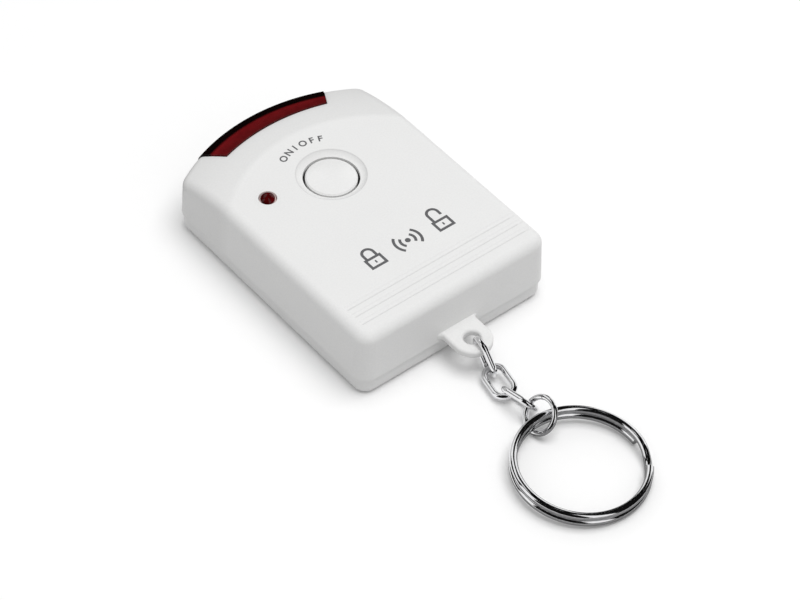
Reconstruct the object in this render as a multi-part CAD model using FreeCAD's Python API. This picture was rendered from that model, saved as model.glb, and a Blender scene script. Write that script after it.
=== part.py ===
# Infrared key-ring remote for a motion sensor alarm.
# Millimetres. The origin is on the flat back, on the centre line: +Z leaves the button face,
# +Y points to the infrared window in the nose, and -Y to the lug with its chain and key ring.
import FreeCAD
import Part
import math
import os

V = FreeCAD.Vector
UP = V(0, 0, 1)

# Case outline and height
case_width = 40.0
case_length = 56.5
origin_to_tail = 28.5
case_height = 13.8
parting_height = 3.8
side_draft = 0.5
nose_radius = 36.0
nose_corner_radius = 3.0
tail_corner_radius = 2.8
least_corner_radius = 0.4
top_edge_radius = 2.0

# Sloped nose band, turned about an upright axis on the centre line
crease_radius = 25.0
crease_peak_back = 11.2
nose_slope_turns = (6.4, 25.0, 45.0)
nose_slope_radius = 36.5

# Walls and fits
top_wall = 1.5
tray_step = 0.4
tray_wall = 1.9
tray_floor = 2.0
tray_edge_radius = 1.3
tongue_height = 1.2
tongue_thick = 0.7
seat_gap = 0.1
slide_gap = 0.12
running_gap = 0.15
tool_margin = 1.0
match_tolerance = 0.01

# Grooves across the face
groove_count = 3
groove_first = 3.5
groove_step = 1.95
groove_width = 1.0
groove_depth = 0.2
groove_left = 17.5

# Lug for the chain
lug_lift = 0.3
lug_thick = 1.5
lug_half_width = 3.55
lug_reach = 7.3
lug_hole_radius = 1.45
lug_rim = 2.1
lug_edge_radius = 0.5
lug_flare = 0.7

# Infrared window in the nose
window_peak_back = 5.95
window_arc_radius = 37.0
window_half_inner = 10.85
window_half_outer = 13.5
window_end_run = 4.3
window_sill = 6.3
window_flange = 0.6
window_overlap = 1.0
window_proud = 0.35

# Push button
button_back = 22.64
button_radius = 4.5
button_gap = 0.42
button_dish_radius = 6.1
button_dish_depth = 0.7
button_dish_waist = (0.42, 0.22)
button_rise = 0.15
button_flange_width = 0.9
button_flange_thick = 0.9
button_wall = 0.9
button_bevel = 0.25
button_stem_radius = 1.4
button_travel = 0.3

# Indicator lamp
lamp_left = 12.0
lamp_back = 20.6
lamp_radius = 1.5
lamp_flange_radius = 1.9
lamp_flange_thick = 0.9
lamp_body_length = 3.8
lamp_proud = 0.8
lead_radius = 0.25
lead_pitch = 2.54
lead_stub = 0.5
lead_bend = 1.0

# Infrared emitter
emitter_headroom = 3.1
emitter_floor_gap = 0.2
emitter_flange_step = 0.4
emitter_flange_thick = 1.0
emitter_barrel = 5.0
emitter_to_board = 0.3
emitter_lead_run = 2.4

# Circuit board
board_half_width = 12.9
board_thick = 1.0
board_tail_gap = 9.0
board_nose_gap = 12.8
board_underside = 5.6

# Coin cell and its pocket
cell_radius = 10.0
cell_thick = 3.2
cell_back = 15.5
cell_play = 0.25
cell_float = 0.2
cell_cap_radius = 8.2
cell_cap_step = 0.25
pocket_wall = 1.0
pocket_height = 4.9

# Battery door
door_thick = 1.3
door_half_width = 11.0
door_tongue = 1.2
door_tongue_thick = 0.6
door_start = 2.2
door_grip_count = 5
door_grip_step = 1.6
door_grip_width = 0.8
door_grip_depth = 0.3
door_grip_half = 5.0
door_grip_back = 4.5

# Contacts
contact_thick = 0.25
contact_width = 4.0
contact_tab = 1.6
contact_lift = 0.25

# Tact switch under the button
switch_side = 6.0
switch_base_height = 2.6
switch_cavity_radius = 2.3
switch_cavity_depth = 1.2
switch_cover_thick = 0.3
switch_leg_width = 1.2
plunger_radius = 1.7
plunger_flange = 0.35
plunger_flange_thick = 0.4
dome_radius = 2.0
dome_spare = 0.05
dome_sheet = 0.12

# Parts on the board
chip_length = 12.8
chip_width = 7.5
chip_height = 2.3
chip_pins_per_side = 10
pin_pitch = 1.27
pin_width = 0.42
pin_reach = 1.3
pin_thick = 0.2
resonator_width = 7.0
resonator_thick = 2.8
resonator_edge = 0.56
resonator_headroom = 1.1
resonator_place = (8.8, 28.3)
capacitor_headroom = 0.9
capacitor_length = 7.2
capacitor_edge = 0.3
capacitor_place = (-9.2, 34.5)
transistor_radius = 2.3
transistor_headroom = 0.7
transistor_flat = 1.3
transistor_place = (9.2, 18.5)
transistor_stand = 0.6
resistor_count = 4
resistor_radius = 0.85
resistor_length = 3.4
resistor_lead_span = 5.2
resistor_side = 9.3
resistor_from_screw = 2.9
resistor_to_resonator = 1.6

# Screws
case_screw_side = 15.5
case_screw_tail = 6.5
case_screw_nose = 13.0
boss_radius = 2.4
boss_top_gap = 0.2
case_screw_radius = 0.95
case_screw_hole = 1.2
case_screw_head = 1.9
case_screw_head_thick = 1.1
case_screw_sink = 1.5
case_screw_length = 9.0
cross_width = 0.45
cross_length = 2.0
cross_depth = 0.5
board_screw_side = 10.5
board_screw_tail = 2.0
board_screw_radius = 0.8
board_screw_head = 1.6
board_screw_head_thick = 0.9
board_screw_length = 3.0
board_post_radius = 1.9
board_rest_side = 10.6
board_rest_back = 29.5
board_rest_radius = 1.4

# Chain: three equal oval links, a small ring and the two-layer key ring
link_length = 7.7
link_width = 4.6
link_wire = 1.1
wire_gap = 0.1
link_1_turn = (4.0, 54.1, 105.1)
link_2_turn = (-11.4, 0.5, 13.7)
link_3_turn = (3.6, -10.4, 125.5)
link_2_climb_angle = 46.9
link_3_climb_angle = -0.2
link_3_side_angle = 14.4
small_ring_diameter = 7.0
small_ring_wire = 1.0
small_ring_slit = 0.12
small_ring_slit_angle = 120.0
small_ring_heading_angle = 173.5
small_ring_lean_angle = 51.6
small_ring_swing_angle = 1.8
key_ring_diameter = 23.3
key_ring_wire = 1.3
key_ring_layer = 1.42
key_ring_start_angle = -41.0
key_ring_step_angle = 35.0
key_ring_samples = 500
key_ring_offset = 0.47
key_ring_heading_angle = -95.7
key_ring_tip_x_angle = 2.7
key_ring_tip_y_angle = 1.45
ground_gap = 0.14

# Places that follow from the sizes above
tail_y = -origin_to_tail
nose_y = case_length - origin_to_tail
half_width = case_width / 2
top_inside = case_height - top_wall
crease_y = nose_y - crease_peak_back - crease_radius
button_y = nose_y - button_back
lamp_y = nose_y - lamp_back
cell_y = nose_y - cell_back
cell_bottom = door_thick + cell_float
cell_top = cell_bottom + cell_thick
board_tail = tail_y + board_tail_gap
board_nose = nose_y - board_nose_gap
board_top = board_underside + board_thick
lug_bottom = parting_height + lug_lift
tray_inside = tray_step + tray_wall
tongue_outer = tray_inside - tongue_thick
tongue_top = parting_height + tongue_height
boss_bottom = tongue_top + boss_top_gap
case_screw_places = [
    (side * case_screw_side, y)
    for y in (tail_y + case_screw_tail, nose_y - case_screw_nose)
    for side in (-1, 1)
]
board_screw_y = board_tail + board_screw_tail
board_screw_places = [(side * board_screw_side, board_screw_y) for side in (-1, 1)]
board_rest_places = [(side * board_rest_side, nose_y - board_rest_back) for side in (-1, 1)]
board_room = top_inside - board_top
resonator_height = board_room - resonator_headroom
capacitor_radius = (board_room - capacitor_headroom) / 2
transistor_height = board_room - transistor_headroom - transistor_stand
chip_y = (board_tail + button_y - switch_side / 2) / 2
dome_rise = button_travel + dome_spare
switch_top = board_top + switch_base_height + switch_cover_thick
dome_bottom = board_top + switch_base_height - switch_cavity_depth
dome_top = dome_bottom + dome_rise + dome_sheet
cap_edge = case_height - button_dish_depth
flange_top = top_inside - seat_gap
flange_bottom = flange_top - button_flange_thick
plunger_top = flange_bottom - seat_gap
emitter_room = case_height - emitter_headroom - cell_top - emitter_floor_gap
emitter_flange_radius = emitter_room / 2
emitter_radius = emitter_flange_radius - emitter_flange_step
emitter_height = cell_top + emitter_floor_gap + emitter_flange_radius
emitter_back = board_nose + emitter_to_board
emitter_board_y = emitter_back - emitter_lead_run
lamp_top = case_height + lamp_proud
lamp_bottom = lamp_top - lamp_radius - lamp_body_length


# General shapes

def box(x0, x1, y0, y1, z0, z1):
    return Part.makeBox(x1 - x0, y1 - y0, z1 - z0, V(x0, y0, z0))


def post(radius, x, y, z0, z1):
    return Part.makeCylinder(radius, z1 - z0, V(x, y, z0))


def arc(start, middle, end):
    return Part.Arc(start, middle, end).toShape()


def line(start, end):
    return Part.LineSegment(start, end).toShape()


def polar(x, y, radius, degrees, z):
    angle = math.radians(degrees)
    return V(x + radius * math.cos(angle), y + radius * math.sin(angle), z)


def prism(points, direction):
    return Part.Face(Part.makePolygon(points + points[:1])).extrude(direction)


def turned(edges, x, y):
    """A solid of revolution from edges drawn in the plane y = 0, with x as the radius."""
    solid = Part.Face(Part.Wire(edges)).revolve(V(0, 0, 0), UP, 360)
    solid.translate(V(x, y, 0))
    return solid


def turned_polygon(points, x, y):
    corners = [V(r, 0, z) for r, z in points]
    edges = [line(a, b) for a, b in zip(corners, corners[1:] + corners[:1])]
    return turned(edges, x, y)


def cap_arc(radius, z, rise):
    """The edge of a shallow dome, from its rim up to its top on the axis."""
    ball = (radius * radius + rise * rise) / (2 * rise)
    half_angle = math.asin(radius / ball) / 2
    waist = V(ball * math.sin(half_angle), 0, z + rise - ball * (1 - math.cos(half_angle)))
    return arc(V(radius, 0, z), waist, V(0, 0, z + rise))


def export(shapes):
    os.makedirs("parts", exist_ok=True)
    for name, shape in shapes.items():
        solids = shape.Solids
        whole = solids[0] if len(solids) == 1 else Part.makeCompound(solids)
        if not whole.isValid():
            print("not valid:", name)
        whole.exportStep("parts/" + name + ".step")


# Case

def outline(inset, z):
    """The case's plan at one height: straight tail and sides, round corners and a bowed nose."""
    side = half_width - inset
    tail = tail_y + inset
    bow = nose_radius - inset
    bow_y = nose_y - nose_radius
    r_tail = max(tail_corner_radius - inset, least_corner_radius)
    r_nose = max(nose_corner_radius - inset, least_corner_radius)
    corner_x = side - r_nose
    corner_y = bow_y + math.sqrt((bow - r_nose) ** 2 - corner_x ** 2)
    meet = math.degrees(math.atan2(corner_y - bow_y, corner_x))

    def tail_corner(hand):
        centre = (hand * (side - r_tail), tail + r_tail)
        return [polar(centre[0], centre[1], r_tail, -90 + hand * turn, z) for turn in (0, 45, 90)]

    def nose_corner(hand):
        middle = meet / 2
        angles = [90 - hand * (90 - turn) for turn in (0, middle, meet)]
        return [polar(hand * corner_x, corner_y, r_nose, turn, z) for turn in angles]

    right_tail = tail_corner(1)
    left_tail = tail_corner(-1)
    right_nose = nose_corner(1)
    left_nose = nose_corner(-1)
    return Part.Wire([
        line(left_tail[0], right_tail[0]),
        arc(*right_tail),
        line(right_tail[2], right_nose[0]),
        arc(*right_nose),
        arc(right_nose[2], V(0, nose_y - inset, z), left_nose[2]),
        arc(*reversed(left_nose)),
        line(left_nose[0], left_tail[2]),
        arc(*reversed(left_tail)),
    ])


def drafted_block(inset, z0, z1, draft=side_draft):
    return Part.makeLoft([outline(inset, z0), outline(inset + draft, z1)], True, True)


def nose_cutter(top):
    """What lies above the curved slope of the nose band, for a face at the given height."""
    angles = [math.radians(turn) for turn in nose_slope_turns]
    start = angles[0]
    centre_r = crease_radius - nose_slope_radius * math.sin(start)
    centre_z = top - nose_slope_radius * math.cos(start)
    points = [
        V(centre_r + nose_slope_radius * math.sin(a), 0, centre_z + nose_slope_radius * math.cos(a))
        for a in angles
    ]
    roof = top + top_wall + top_edge_radius
    edges = [
        arc(*points),
        line(points[2], V(points[2].x, 0, roof)),
        line(V(points[2].x, 0, roof), V(crease_radius, 0, roof)),
        line(V(crease_radius, 0, roof), points[0]),
    ]
    cutter = Part.Face(Part.Wire(edges)).revolve(V(0, 0, 0), UP, 180)
    cutter.translate(V(0, crease_y, 0))
    return cutter


def inner_block(inset, bottom=parting_height):
    """The space inside a wall of the given thickness, under the face and the nose slope."""
    low = bottom - tray_wall
    block = drafted_block(inset, low, case_height - inset)
    return block.cut(nose_cutter(case_height - inset))


def outer_block():
    block = drafted_block(0, parting_height, case_height)
    block = block.cut(nose_cutter(case_height)).removeSplitter()
    rim = []
    for edge in block.Edges:
        low = edge.BoundBox.ZMin
        upright = edge.BoundBox.ZLength > case_height / 2
        middle = edge.CenterOfMass
        if low > parting_height + tool_margin and not upright:
            reach = math.hypot(edge.Vertexes[0].X, edge.Vertexes[0].Y - crease_y)
            centred = abs(middle.x) < tool_margin
            on_crease = centred and abs(reach - crease_radius) < match_tolerance
            if not on_crease:
                rim.append(edge)
    return block.makeFillet(top_edge_radius, rim)


def lug():
    """A flat tongue with a flared root, a round end and rounded edges."""
    end_y = tail_y - lug_reach
    round_y = end_y + lug_half_width
    root = tail_y + top_wall / 2
    z = lug_bottom
    w = lug_half_width
    flare = w + lug_flare
    bend = lug_flare * (1 - math.sqrt(0.5))
    edges = [
        line(V(-flare, root, z), V(flare, root, z)),
        line(V(flare, root, z), V(flare, tail_y, z)),
        arc(V(flare, tail_y, z), V(w + bend, tail_y - bend, z), V(w, tail_y - lug_flare, z)),
        line(V(w, tail_y - lug_flare, z), V(w, round_y, z)),
        arc(V(w, round_y, z), V(0, end_y, z), V(-w, round_y, z)),
        line(V(-w, round_y, z), V(-w, tail_y - lug_flare, z)),
        arc(V(-w, tail_y - lug_flare, z), V(-w - bend, tail_y - bend, z), V(-flare, tail_y, z)),
        line(V(-flare, tail_y, z), V(-flare, root, z)),
    ]
    plate = Part.Face(Part.Wire(edges)).extrude(V(0, 0, lug_thick))
    hole_y = end_y + lug_rim + lug_hole_radius
    plate = plate.cut(post(lug_hole_radius, 0, hole_y, z, z + lug_thick))
    soft = [
        edge for edge in plate.Edges
        if edge.BoundBox.ZLength < match_tolerance and edge.BoundBox.YMin < tail_y - match_tolerance
    ]
    return plate.makeFillet(lug_edge_radius, soft)


def window_prism(margin, z0):
    """The window's plan, grown or shrunk by a margin, as a tall prism beyond the nose."""
    grow = margin
    inner_y = nose_y - window_peak_back - grow
    centre_y = inner_y - window_arc_radius
    half = window_half_inner + grow
    corner_y = centre_y + math.sqrt(window_arc_radius ** 2 - half ** 2)
    slant = (window_half_outer - window_half_inner) / window_end_run
    far = nose_y + window_end_run
    far_half = half + slant * (far - corner_y)
    edges = [
        arc(V(-half, corner_y, z0), V(0, inner_y, z0), V(half, corner_y, z0)),
        line(V(half, corner_y, z0), V(far_half, far, z0)),
        line(V(far_half, far, z0), V(-far_half, far, z0)),
        line(V(-far_half, far, z0), V(-half, corner_y, z0)),
    ]
    return Part.Face(Part.Wire(edges)).extrude(V(0, 0, case_height + tool_margin - z0))


def face_grooves():
    """Shallow round-bottomed grooves that run off the right edge of the face."""
    bars = []
    radius = (groove_width ** 2 / 4 + groove_depth ** 2) / (2 * groove_depth)
    length = groove_left + half_width + tool_margin
    for index in range(groove_count):
        y = tail_y + groove_first + index * groove_step + groove_width / 2
        start = V(-groove_left, y, case_height - groove_depth + radius)
        bars.append(Part.makeCylinder(radius, length, start, V(1, 0, 0)))
    return bars


def button_dish():
    hole = button_radius + button_gap
    floor_z = case_height - button_dish_depth
    top = V(button_dish_radius, 0, case_height)
    low = V(hole, 0, floor_z)
    out, rise = button_dish_waist
    waist = V(hole + (button_dish_radius - hole) * out, 0, floor_z + button_dish_depth * rise)
    roof = case_height + tool_margin
    edges = [
        line(V(0, 0, floor_z), low),
        arc(low, waist, top),
        line(top, V(button_dish_radius, 0, roof)),
        line(V(button_dish_radius, 0, roof), V(0, 0, roof)),
        line(V(0, 0, roof), V(0, 0, floor_z)),
    ]
    return turned(edges, 0, button_y)


def top_shell(outer):
    shell = outer.cut(inner_block(top_wall))
    shell = shell.fuse(lug())
    cavity = inner_block(top_wall)
    for x, y in case_screw_places:
        boss = post(boss_radius, x, y, boss_bottom, case_height).common(cavity)
        pilot = post(case_screw_radius, x, y, boss_bottom, case_screw_sink + case_screw_length + seat_gap)
        shell = shell.fuse(boss).cut(pilot)
    cuts = face_grooves()
    cuts.append(button_dish())
    low = top_inside - tool_margin
    cuts.append(post(button_radius + button_gap, 0, button_y, low, case_height))
    cuts.append(post(lamp_radius + seat_gap, -lamp_left, lamp_y, low, case_height + tool_margin))
    cuts.append(window_prism(seat_gap / 2, window_sill - seat_gap / 2))
    for tool in cuts:
        shell = shell.cut(tool)
    return shell.removeSplitter()


def ir_window(outer):
    """The pane stands a little proud of the slope, and a wider flange lies behind the shell's wall."""
    back = top_wall + seat_gap / 2 + window_flange
    raised = outer.copy()
    raised.translate(V(0, 0, window_proud))
    pane = raised.cut(inner_block(back)).common(window_prism(-seat_gap / 2, window_sill))
    sheet = inner_block(top_wall + seat_gap / 2).cut(inner_block(back))
    flange = sheet.common(window_prism(window_overlap, window_sill - window_overlap))
    return pane.fuse(flange).removeSplitter()


def tray_block():
    block = drafted_block(tray_step, 0, parting_height, 0)
    low = [edge for edge in block.Edges if edge.BoundBox.ZMax < match_tolerance]
    return block.makeFillet(tray_edge_radius, low)


def bottom_shell(tray):
    """The tray: floor, walls, tongue, screw towers, board posts, battery pocket and door bay."""
    hollow = drafted_block(tray_inside, tray_floor, tongue_top + tool_margin, 0)
    rise = drafted_block(tongue_outer + seat_gap, parting_height - tool_margin, tongue_top, 0)
    shell = tray.fuse(rise).cut(hollow)
    root = tray_floor - tool_margin
    for x, y in case_screw_places:
        shell = shell.fuse(post(boss_radius, x, y, root, tongue_top))
    for x, y in board_screw_places:
        shell = shell.fuse(post(board_post_radius, x, y, root, board_underside))
    for x, y in board_rest_places:
        shell = shell.fuse(post(board_rest_radius, x, y, root, board_underside))
    pocket = cell_radius + cell_play
    shell = shell.fuse(post(pocket + pocket_wall, 0, cell_y, root, pocket_height))
    under = -tool_margin
    cuts = [post(pocket, 0, cell_y, under, pocket_height + tool_margin)]
    near = door_start - slide_gap
    far = nose_y + tool_margin
    roof = door_thick + slide_gap / 2
    bay = door_half_width + slide_gap
    slot = bay + door_tongue
    slot_low = door_thick - door_tongue_thick - slide_gap
    cuts.append(box(-bay, bay, near, far, under, roof))
    cuts.append(box(-slot, slot, near, far, slot_low, roof))
    half = contact_width / 2 + running_gap
    strip_end = pocket + pocket_wall + tool_margin
    cuts.append(box(0, strip_end, cell_y - half, cell_y + half, tray_floor + seat_gap, board_underside))
    for x, y in case_screw_places:
        cuts.append(post(case_screw_hole, x, y, under, tongue_top + tool_margin))
        cuts.append(post(case_screw_head + running_gap, x, y, under, case_screw_sink))
    for x, y in board_screw_places:
        depth = board_top - board_screw_length - seat_gap
        cuts.append(post(board_screw_radius, x, y, depth, board_underside))
    for tool in cuts:
        shell = shell.cut(tool)
    return shell.removeSplitter()


def battery_door(tray):
    """A plate with the tray's own edge at the nose, side tongues and grip grooves outside."""
    far = nose_y + tool_margin
    plate = tray.common(box(-door_half_width, door_half_width, door_start, far, 0, door_thick))
    reach = door_half_width + door_tongue
    low = door_thick - door_tongue_thick
    span = tray.common(box(-reach, reach, door_start, far, low, door_thick))
    door = plate.fuse(span)
    for index in range(door_grip_count):
        y = nose_y - door_grip_back - index * door_grip_step
        groove = box(-door_grip_half, door_grip_half, y - door_grip_width, y, -tool_margin, door_grip_depth)
        door = door.cut(groove)
    return door.removeSplitter()


# Button and switch

def button_cap():
    """A hollow cap with a domed top, a retaining flange and a stem that meets the plunger."""
    crown = case_height + button_rise
    edge_z = cap_edge - seat_gap
    r = button_radius
    flange_r = r + button_flange_width
    hollow = r - button_wall
    roof = crown - button_wall - button_dish_depth
    bevel = button_bevel
    edges = [
        line(V(0, 0, plunger_top), V(button_stem_radius, 0, plunger_top)),
        line(V(button_stem_radius, 0, plunger_top), V(button_stem_radius, 0, roof)),
        line(V(button_stem_radius, 0, roof), V(hollow, 0, roof)),
        line(V(hollow, 0, roof), V(hollow, 0, flange_bottom)),
        line(V(hollow, 0, flange_bottom), V(flange_r, 0, flange_bottom)),
        line(V(flange_r, 0, flange_bottom), V(flange_r, 0, flange_top)),
        line(V(flange_r, 0, flange_top), V(r, 0, flange_top)),
        line(V(r, 0, flange_top), V(r, 0, edge_z)),
        line(V(r, 0, edge_z), V(r - bevel, 0, edge_z + bevel)),
        cap_arc(r - bevel, edge_z + bevel, crown - edge_z - bevel),
        line(V(0, 0, crown), V(0, 0, plunger_top)),
    ]
    return turned(edges, 0, button_y)


def switch_plunger():
    flange = plunger_radius + plunger_flange
    low = dome_top
    top_of_flange = low + plunger_flange_thick
    points = [
        (0, low),
        (flange, low),
        (flange, top_of_flange),
        (plunger_radius, top_of_flange),
        (plunger_radius, plunger_top),
        (0, plunger_top),
    ]
    return turned_polygon(points, 0, button_y)


def switch_base():
    half = switch_side / 2
    top = board_top + switch_base_height
    block = box(-half, half, button_y - half, button_y + half, board_top, top)
    return block.cut(post(switch_cavity_radius, 0, button_y, dome_bottom, top))


def switch_cover():
    """A pressed plate over the base with four legs into the board."""
    half = switch_side / 2
    low = switch_top - switch_cover_thick
    plate = box(-half, half, button_y - half, button_y + half, low, switch_top)
    plate = plate.cut(post(plunger_radius + running_gap, 0, button_y, low, switch_top))
    out = half + switch_cover_thick
    inset = half - switch_leg_width
    for sx in (-1, 1):
        for sy in (-1, 1):
            xs = sorted((sx * half, sx * out))
            ys = sorted((button_y + sy * half, button_y + sy * inset))
            leg = box(xs[0], xs[1], ys[0], ys[1], board_underside - lead_stub, switch_top)
            plate = plate.fuse(leg)
    return plate.removeSplitter()


def switch_dome():
    """A thin pressed disc that snaps down under the plunger."""
    under = dome_bottom + dome_rise
    edges = [
        cap_arc(dome_radius, dome_bottom, dome_rise),
        line(V(0, 0, under), V(0, 0, under + dome_sheet)),
        cap_arc(dome_radius, dome_bottom + dome_sheet, dome_rise),
        line(V(dome_radius, 0, dome_bottom + dome_sheet), V(dome_radius, 0, dome_bottom)),
    ]
    return turned(edges, 0, button_y)


# Board and what it carries

def lead_places():
    half = lead_pitch / 2
    places = [(-lamp_left, lamp_y + side * half, lead_radius) for side in (-1, 1)]
    places += [(side * half, emitter_board_y, lead_radius) for side in (-1, 1)]
    return places


def circuit_board():
    side = board_half_width
    board = box(-side, side, board_tail, board_nose, board_underside, board_top)
    for x, y, radius in lead_places():
        board = board.cut(post(radius + seat_gap / 2, x, y, board_underside, board_top))
    for x, y in board_screw_places:
        board = board.cut(post(board_screw_radius + seat_gap, x, y, board_underside, board_top))
    half = switch_side / 2
    for sx in (-1, 1):
        for sy in (-1, 1):
            x = sx * (half + switch_cover_thick / 2)
            y = button_y + sy * (half - switch_leg_width / 2)
            wide = switch_cover_thick / 2 + seat_gap
            deep = switch_leg_width / 2 + seat_gap
            slot = box(x - wide, x + wide, y - deep, y + deep, board_underside, board_top)
            board = board.cut(slot)
    return board


def lamp_body():
    r = lamp_radius
    shoulder = lamp_top - r
    step = lamp_bottom + lamp_flange_thick
    low = lamp_bottom
    edges = [
        line(V(0, 0, low), V(lamp_flange_radius, 0, low)),
        line(V(lamp_flange_radius, 0, low), V(lamp_flange_radius, 0, step)),
        line(V(lamp_flange_radius, 0, step), V(r, 0, step)),
        line(V(r, 0, step), V(r, 0, shoulder)),
        cap_arc(r, shoulder, r),
        line(V(0, 0, lamp_top), V(0, 0, low)),
    ]
    return turned(edges, -lamp_left, lamp_y)


def lamp_leads():
    tip = board_underside - lead_stub
    leads = [
        post(lead_radius, -lamp_left, lamp_y + side * lead_pitch / 2, tip, lamp_bottom)
        for side in (-1, 1)
    ]
    return Part.makeCompound(leads)


def infrared_emitter():
    r = emitter_radius
    step = emitter_flange_thick
    shoulder = step + emitter_barrel
    tip = shoulder + r
    edges = [
        line(V(0, 0, 0), V(emitter_flange_radius, 0, 0)),
        line(V(emitter_flange_radius, 0, 0), V(emitter_flange_radius, 0, step)),
        line(V(emitter_flange_radius, 0, step), V(r, 0, step)),
        line(V(r, 0, step), V(r, 0, shoulder)),
        cap_arc(r, shoulder, r),
        line(V(0, 0, tip), V(0, 0, 0)),
    ]
    body = turned(edges, 0, 0)
    body.rotate(V(0, 0, 0), V(1, 0, 0), -90)
    body.translate(V(0, emitter_back, emitter_height))
    return body


def emitter_leads():
    """Each lead runs back from the flange and bends down through the board."""
    leads = []
    for side in (-1, 1):
        x = side * lead_pitch / 2
        start = V(x, emitter_back, emitter_height)
        level = V(x, emitter_board_y + lead_bend, emitter_height)
        diagonal = lead_bend * (1 - math.sqrt(0.5))
        middle = V(x, emitter_board_y + diagonal, emitter_height - diagonal)
        down = V(x, emitter_board_y, emitter_height - lead_bend)
        tip = V(x, emitter_board_y, board_underside - lead_stub)
        path = Part.Wire([line(start, level), arc(level, middle, down), line(down, tip)])
        ring = Part.Wire(Part.makeCircle(lead_radius, start, V(0, 1, 0)))
        leads.append(path.makePipeShell([ring], True, False))
    return Part.makeCompound(leads)


def encoder_chip():
    side = chip_width / 2
    end = chip_length / 2
    top = board_top + chip_height
    body = box(-side, side, chip_y - end, chip_y + end, board_top + seat_gap, top)
    notch = post(pin_width, 0, chip_y + end, top - pin_width, top + tool_margin)
    return body.cut(notch)


def encoder_pins():
    """Gull-wing legs along both sides of the chip."""
    pins = []
    low = board_top
    shoulder = board_top + chip_height / 2
    edge = chip_width / 2
    middle = (chip_pins_per_side - 1) / 2
    for side in (-1, 1):
        for index in range(chip_pins_per_side):
            y = chip_y + (index - middle) * pin_pitch - pin_width / 2
            elbow = edge + pin_reach / 2
            profile = [
                (edge, shoulder),
                (elbow, shoulder),
                (elbow, low + pin_thick),
                (edge + pin_reach, low + pin_thick),
                (edge + pin_reach, low),
                (elbow - pin_thick, low),
                (elbow - pin_thick, shoulder - pin_thick),
                (edge, shoulder - pin_thick),
            ]
            corners = [V(side * x, y, z) for x, z in profile]
            pins.append(prism(corners, V(0, pin_width, 0)))
    return Part.makeCompound(pins)


def resonator():
    x, back = resonator_place
    y = nose_y - back
    side = resonator_width / 2
    end = resonator_thick / 2
    block = box(x - side, x + side, y - end, y + end, board_top, board_top + resonator_height)
    upright = [edge for edge in block.Edges if edge.BoundBox.ZLength > resonator_height / 2]
    return block.makeFillet(resonator_edge, upright)


def capacitor():
    x, back = capacitor_place
    y = nose_y - back
    start = V(x, y - capacitor_length / 2, board_top + capacitor_radius)
    can = Part.makeCylinder(capacitor_radius, capacitor_length, start, V(0, 1, 0))
    ends = [edge for edge in can.Edges if edge.BoundBox.YLength < match_tolerance]
    return can.makeFillet(capacitor_edge, ends)


def transistor():
    x, back = transistor_place
    y = nose_y - back
    low = board_top + transistor_stand
    body = post(transistor_radius, x, y, low, low + transistor_height)
    side = transistor_radius + tool_margin
    flat = box(x - side, x + side, y + transistor_flat, y + side, low, low + transistor_height)
    return body.cut(flat)


def transistor_leads():
    x, back = transistor_place
    y = nose_y - back
    low = board_top + transistor_stand
    leads = [
        box(x + step * pin_pitch - pin_width / 2, x + step * pin_pitch + pin_width / 2,
            y - pin_width / 2, y + pin_width / 2, board_top, low)
        for step in (-1, 0, 1)
    ]
    return Part.makeCompound(leads)


def resistor_rows():
    """Even rows between the board screw and the resonator."""
    first = board_screw_y + resistor_from_screw
    last = nose_y - resonator_place[1] - resonator_thick / 2 - resistor_to_resonator
    step = (last - first) / (resistor_count - 1)
    return [first + index * step for index in range(resistor_count)]


def resistors():
    bodies = []
    half = resistor_length / 2
    for y in resistor_rows():
        start = V(resistor_side - half, y, board_top + resistor_radius)
        bodies.append(Part.makeCylinder(resistor_radius, resistor_length, start, V(1, 0, 0)))
    return Part.makeCompound(bodies)


def resistor_leads():
    """A short level wire at each end, bent down to its pad."""
    leads = []
    half = resistor_length / 2
    z = board_top + resistor_radius
    reach = (resistor_lead_span - resistor_length) / 2
    for y in resistor_rows():
        for side in (-1, 1):
            start = V(resistor_side + side * half, y, z)
            level = Part.makeCylinder(lead_radius, reach, start, V(side, 0, 0))
            bend_x = resistor_side + side * (half + reach)
            foot = post(lead_radius, bend_x, y, board_top, z)
            knee = Part.makeSphere(lead_radius, V(bend_x, y, z))
            leads.append(level.fuse(foot).fuse(knee).removeSplitter())
    return Part.makeCompound(leads)


# Power

def coin_cell():
    low = cell_bottom
    top = cell_top
    shoulder = top - cell_cap_step
    points = [
        (0, low),
        (cell_radius - cell_cap_step, low),
        (cell_radius, low + cell_cap_step),
        (cell_radius, shoulder),
        (cell_cap_radius, shoulder),
        (cell_cap_radius, top),
        (0, top),
    ]
    return turned_polygon(points, 0, cell_y)


def negative_contact():
    """A sprung strip under the board that bows down to the cell's upper face."""
    top = board_underside
    touch = cell_top
    half = cell_radius / 2
    t = contact_thick
    press_y = cell_y - half / 2
    line_above = [
        (cell_y - half - contact_tab, top),
        (cell_y - half, top),
        (press_y - t, touch + t),
        (press_y + t, touch + t),
        (cell_y - t, touch + t + contact_lift),
    ]
    under = [(y, z - t) for y, z in reversed(line_above)]
    side = -contact_width / 2
    corners = [V(side, y, z) for y, z in line_above + under]
    return prism(corners, V(contact_width, 0, 0))


def positive_contact():
    """An angle strip beside the cell, with its tab under the board."""
    inside = cell_radius + seat_gap / 2
    outside = inside + contact_thick
    top = board_underside
    under = top - contact_thick
    tab = outside + contact_tab
    low = tray_floor + running_gap
    profile = [(inside, low), (outside, low), (outside, under), (tab, under), (tab, top), (inside, top)]
    corners = [V(x, cell_y - contact_width / 2, z) for x, z in profile]
    return prism(corners, V(0, contact_width, 0))


# Screws

def cross_recess(x, y, z0, z1):
    half = cross_width / 2
    reach = cross_length / 2
    first = box(x - half, x + half, y - reach, y + reach, z0, z1)
    return first.fuse(box(x - reach, x + reach, y - half, y + half, z0, z1))


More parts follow.
